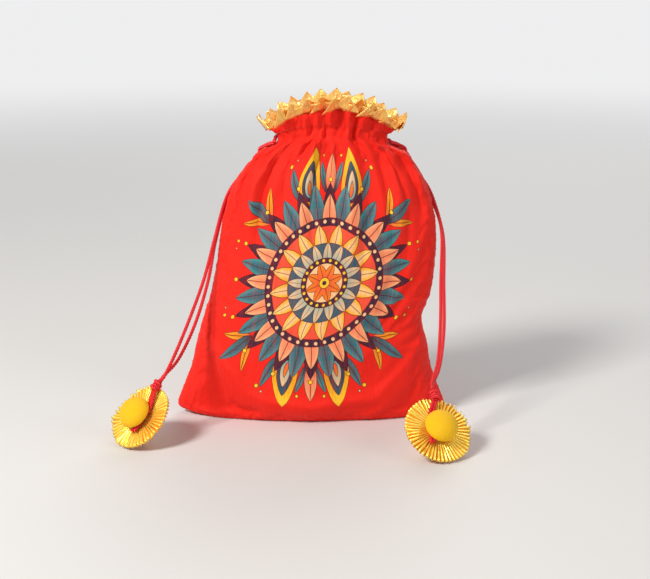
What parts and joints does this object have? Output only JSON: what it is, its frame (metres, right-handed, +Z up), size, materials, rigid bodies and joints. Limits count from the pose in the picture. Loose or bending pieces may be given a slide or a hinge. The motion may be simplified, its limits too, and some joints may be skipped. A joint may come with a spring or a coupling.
{
  "type": "drawstring gift pouch",
  "caption": "Gathered cloth pouch with a printed front, a ruffled neck edged with pointed gold trim, and two drawstrings that end in pleated gold tassels with covered buttons",
  "frame": {"origin": "on the surface that the pouch stands on, under the middle of its base", "axes": "+Z up through the neck, +X to the right along the panels' width as seen from the front, +Y backwards, so the printed front faces -Y"},
  "size_m": [0.2311, 0.1277, 0.2187],
  "materials": {
    "red_cloth": "red slub cloth with a soft sheen; the front carries a print",
    "lining_red": "matt red lining tape",
    "gold_trim": "metallic gold ribbon folded into points",
    "cord_red": "twisted red satin cord",
    "gold_ribbon": "pleated metallic gold ribbon",
    "button_yellow": "button covered with yellow woven cloth"
  },
  "bodies": {
    "root": {"front_panel": "red_cloth", "back_panel": "red_cloth", "front_channel_tape": "lining_red", "back_channel_tape": "lining_red", "front_trim": "gold_trim", "back_trim": "gold_trim", "left_drawstring": "cord_red", "right_drawstring": "cord_red", "left_tassel_knot": "cord_red", "right_tassel_knot": "cord_red", "left_tassel_cord_tail": "cord_red", "right_tassel_cord_tail": "cord_red", "left_tassel_ruffle": "gold_ribbon", "right_tassel_ruffle": "gold_ribbon", "left_tassel_front_button": "button_yellow", "left_tassel_back_button": "button_yellow", "right_tassel_front_button": "button_yellow", "right_tassel_back_button": "button_yellow"}
  },
  "joints": []
}
